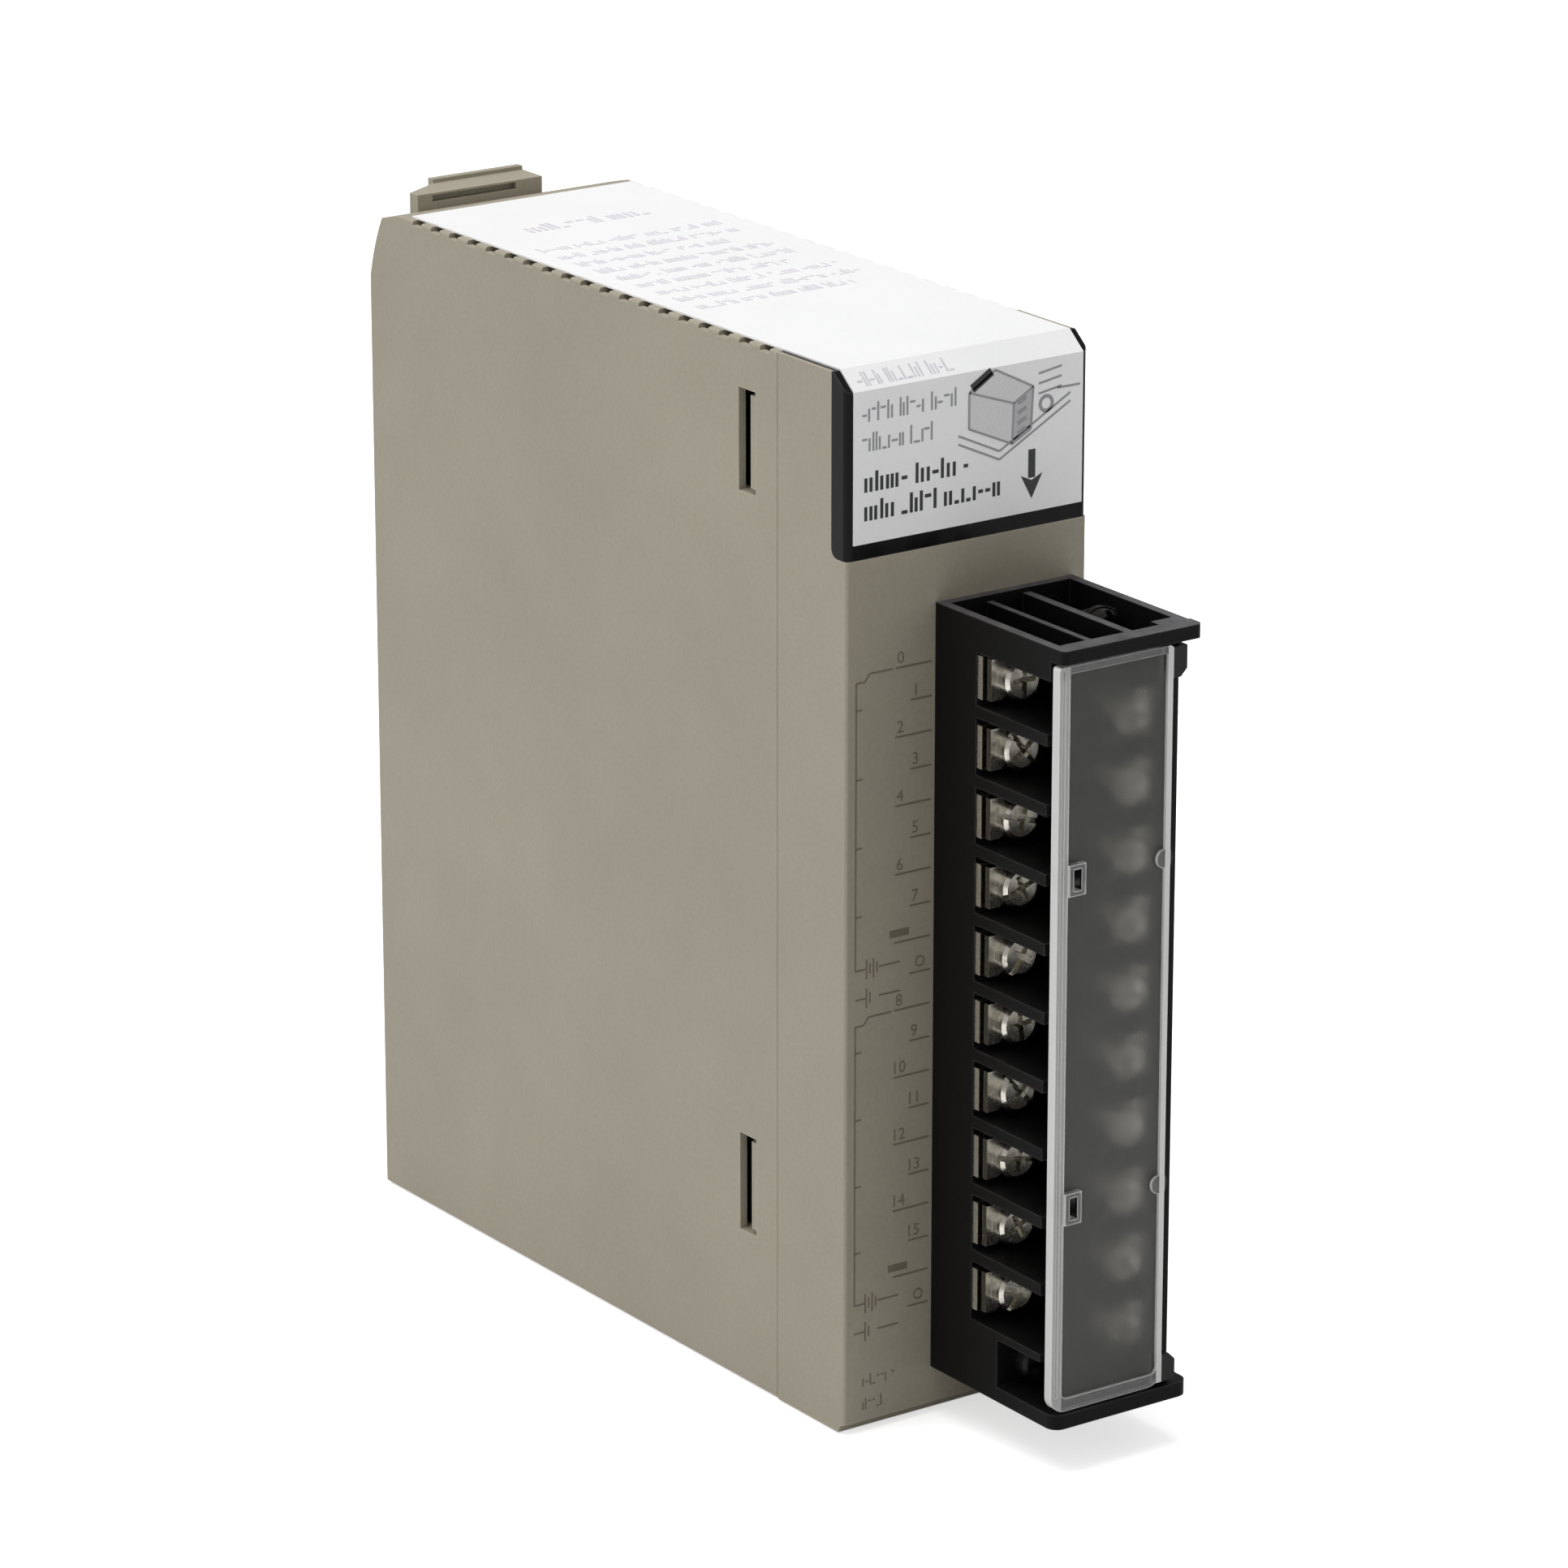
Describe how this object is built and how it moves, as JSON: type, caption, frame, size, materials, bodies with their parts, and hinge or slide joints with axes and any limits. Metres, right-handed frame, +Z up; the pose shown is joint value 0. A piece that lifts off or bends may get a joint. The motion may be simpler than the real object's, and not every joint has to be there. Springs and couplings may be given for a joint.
{
  "type": "plc input module",
  "caption": "Tall narrow rack-mounted controller input module with a removable two-column screw terminal block under a hinged frosted cover.",
  "frame": {"origin": "on the rear mounting plane, at the middle of the width and the foot of the module", "axes": "+X to the right seen from the front, +Y out of the rear mounting face towards the rack, +Z up; the front faces -Y"},
  "size_m": [0.0344, 0.1329, 0.1318],
  "materials": {
    "case_plastic": "fine moulded texture, warm grey beige",
    "window_plastic": "dark smoke tinted plastic",
    "label_film": null,
    "circuit_board": "green solder mask",
    "chip_resin": "black epoxy packages",
    "chip_ceramic": "dark chip resistors",
    "capacitor_can": "sleeved aluminium cans",
    "led_lens": "clear green tinted lenses",
    "light_guide_plastic": "white plastic comb",
    "connector_plastic": "glass filled black plastic",
    "insert_brass": "plain brass",
    "screw_steel": "zinc plated steel",
    "screw_blackened": "blackened steel",
    "block_plastic": "black moulded plastic",
    "terminal_brass": "nickel plated brass",
    "terminal_screw_steel": "nickel plated steel",
    "cover_plastic": "frosted translucent grey plastic with clear rims"
  },
  "bodies": {
    "case": {"rear_case": "case_plastic", "front_case": "case_plastic", "indicator_window": "window_plastic", "dust_label": "label_film", "main_board": "circuit_board", "photocouplers": "chip_resin", "input_resistors": "chip_ceramic", "interface_chip": "chip_resin", "capacitors": "capacitor_can", "indicator_board": "circuit_board", "indicator_leds": "led_lens", "light_guide": "light_guide_plastic", "backplane_connector": "connector_plastic", "block_header": "connector_plastic", "block_screw_inserts": "insert_brass"},
    "terminal_block": {"terminal_block_base": "block_plastic", "terminals_left": "terminal_brass", "terminals_right": "terminal_brass"},
    "cover": {"terminal_cover": "cover_plastic"},
    "mounting_washer": {"mounting_screw_washer": "screw_steel"},
    "mounting_screw": {"mounting_screw": "screw_steel"},
    "block_washer_top": {"block_screw_washer_top": "screw_blackened"},
    "block_screw_top": {"block_screw_top": "screw_blackened"},
    "block_washer_bottom": {"block_screw_washer_bottom": "screw_blackened"},
    "block_screw_bottom": {"block_screw_bottom": "screw_blackened"},
    "terminal_screw_a0": {"terminal_screw_a0": "terminal_screw_steel"},
    "terminal_screw_a1": {"terminal_screw_a1": "terminal_screw_steel"},
    "terminal_screw_a2": {"terminal_screw_a2": "terminal_screw_steel"},
    "terminal_screw_a3": {"terminal_screw_a3": "terminal_screw_steel"},
    "terminal_screw_a4": {"terminal_screw_a4": "terminal_screw_steel"},
    "terminal_screw_a5": {"terminal_screw_a5": "terminal_screw_steel"},
    "terminal_screw_a6": {"terminal_screw_a6": "terminal_screw_steel"},
    "terminal_screw_a7": {"terminal_screw_a7": "terminal_screw_steel"},
    "terminal_screw_a8": {"terminal_screw_a8": "terminal_screw_steel"},
    "terminal_screw_a9": {"terminal_screw_a9": "terminal_screw_steel"},
    "terminal_screw_b0": {"terminal_screw_b0": "terminal_screw_steel"},
    "terminal_screw_b1": {"terminal_screw_b1": "terminal_screw_steel"},
    "terminal_screw_b2": {"terminal_screw_b2": "terminal_screw_steel"},
    "terminal_screw_b3": {"terminal_screw_b3": "terminal_screw_steel"},
    "terminal_screw_b4": {"terminal_screw_b4": "terminal_screw_steel"},
    "terminal_screw_b5": {"terminal_screw_b5": "terminal_screw_steel"},
    "terminal_screw_b6": {"terminal_screw_b6": "terminal_screw_steel"},
    "terminal_screw_b7": {"terminal_screw_b7": "terminal_screw_steel"},
    "terminal_screw_b8": {"terminal_screw_b8": "terminal_screw_steel"},
    "terminal_screw_b9": {"terminal_screw_b9": "terminal_screw_steel"}
  },
  "joints": [
    {"name": "block_pull", "type": "slide", "parent": "case", "child": "terminal_block", "axis": [0, -1, 0], "range_m": [0, 0.04]},
    {"name": "cover_swing", "type": "hinge", "parent": "terminal_block", "child": "cover", "pos_m": [0.0129, -0.124, 0.05], "axis": [0, 0, 1], "range_deg": [0, 110]},
    {"name": "mounting_screw_travel", "type": "slide", "parent": "case", "child": "mounting_washer", "axis": [0, -1, 0], "range_m": [0, 0.0065]},
    {"name": "mounting_screw_turn", "type": "hinge", "parent": "mounting_washer", "child": "mounting_screw", "pos_m": [0, -0.005, 0.007], "axis": [0, -1, 0], "range_deg": [0, 3345]},
    {"name": "block_screw_bottom_travel", "type": "slide", "parent": "terminal_block", "child": "block_washer_bottom", "axis": [0, -1, 0], "range_m": [0, 0.0065]},
    {"name": "block_screw_bottom_turn", "type": "hinge", "parent": "block_washer_bottom", "child": "block_screw_bottom", "pos_m": [0.0002, -0.1152, 0.0106], "axis": [0, -1, 0], "range_deg": [0, 4685]},
    {"name": "block_screw_top_travel", "type": "slide", "parent": "terminal_block", "child": "block_washer_top", "axis": [0, -1, 0], "range_m": [0, 0.0065]},
    {"name": "block_screw_top_turn", "type": "hinge", "parent": "block_washer_top", "child": "block_screw_top", "pos_m": [0.01116, -0.112, 0.0978], "axis": [0, -1, 0], "range_deg": [0, 4685]},
    {"name": "terminal_screw_a0_back_out", "type": "slide", "parent": "terminal_block", "child": "terminal_screw_a0", "axis": [0, -1, 0], "range_m": [-0.0005, 0.0021]},
    {"name": "terminal_screw_a1_back_out", "type": "slide", "parent": "terminal_block", "child": "terminal_screw_a1", "axis": [0, -1, 0], "range_m": [-0.0005, 0.0021]},
    {"name": "terminal_screw_a2_back_out", "type": "slide", "parent": "terminal_block", "child": "terminal_screw_a2", "axis": [0, -1, 0], "range_m": [-0.0005, 0.0021]},
    {"name": "terminal_screw_a3_back_out", "type": "slide", "parent": "terminal_block", "child": "terminal_screw_a3", "axis": [0, -1, 0], "range_m": [-0.0005, 0.0021]},
    {"name": "terminal_screw_a4_back_out", "type": "slide", "parent": "terminal_block", "child": "terminal_screw_a4", "axis": [0, -1, 0], "range_m": [-0.0005, 0.0021]},
    {"name": "terminal_screw_a5_back_out", "type": "slide", "parent": "terminal_block", "child": "terminal_screw_a5", "axis": [0, -1, 0], "range_m": [-0.0005, 0.0021]},
    {"name": "terminal_screw_a6_back_out", "type": "slide", "parent": "terminal_block", "child": "terminal_screw_a6", "axis": [0, -1, 0], "range_m": [-0.0005, 0.0021]},
    {"name": "terminal_screw_a7_back_out", "type": "slide", "parent": "terminal_block", "child": "terminal_screw_a7", "axis": [0, -1, 0], "range_m": [-0.0005, 0.0021]},
    {"name": "terminal_screw_a8_back_out", "type": "slide", "parent": "terminal_block", "child": "terminal_screw_a8", "axis": [0, -1, 0], "range_m": [-0.0005, 0.0021]},
    {"name": "terminal_screw_a9_back_out", "type": "slide", "parent": "terminal_block", "child": "terminal_screw_a9", "axis": [0, -1, 0], "range_m": [-0.0005, 0.0021]},
    {"name": "terminal_screw_b0_back_out", "type": "slide", "parent": "terminal_block", "child": "terminal_screw_b0", "axis": [0, -1, 0], "range_m": [-0.0005, 0.0021]},
    {"name": "terminal_screw_b1_back_out", "type": "slide", "parent": "terminal_block", "child": "terminal_screw_b1", "axis": [0, -1, 0], "range_m": [-0.0005, 0.0021]},
    {"name": "terminal_screw_b2_back_out", "type": "slide", "parent": "terminal_block", "child": "terminal_screw_b2", "axis": [0, -1, 0], "range_m": [-0.0005, 0.0021]},
    {"name": "terminal_screw_b3_back_out", "type": "slide", "parent": "terminal_block", "child": "terminal_screw_b3", "axis": [0, -1, 0], "range_m": [-0.0005, 0.0021]},
    {"name": "terminal_screw_b4_back_out", "type": "slide", "parent": "terminal_block", "child": "terminal_screw_b4", "axis": [0, -1, 0], "range_m": [-0.0005, 0.0021]},
    {"name": "terminal_screw_b5_back_out", "type": "slide", "parent": "terminal_block", "child": "terminal_screw_b5", "axis": [0, -1, 0], "range_m": [-0.0005, 0.0021]},
    {"name": "terminal_screw_b6_back_out", "type": "slide", "parent": "terminal_block", "child": "terminal_screw_b6", "axis": [0, -1, 0], "range_m": [-0.0005, 0.0021]},
    {"name": "terminal_screw_b7_back_out", "type": "slide", "parent": "terminal_block", "child": "terminal_screw_b7", "axis": [0, -1, 0], "range_m": [-0.0005, 0.0021]},
    {"name": "terminal_screw_b8_back_out", "type": "slide", "parent": "terminal_block", "child": "terminal_screw_b8", "axis": [0, -1, 0], "range_m": [-0.0005, 0.0021]},
    {"name": "terminal_screw_b9_back_out", "type": "slide", "parent": "terminal_block", "child": "terminal_screw_b9", "axis": [0, -1, 0], "range_m": [-0.0005, 0.0021]}
  ],
  "couplings": [
    {"joint": "mounting_screw_turn", "follows": "mounting_screw_travel", "rad_per_m": 8976},
    {"joint": "block_screw_bottom_turn", "follows": "block_screw_bottom_travel", "rad_per_m": 12566},
    {"joint": "block_screw_top_turn", "follows": "block_screw_top_travel", "rad_per_m": 12566}
  ]
}
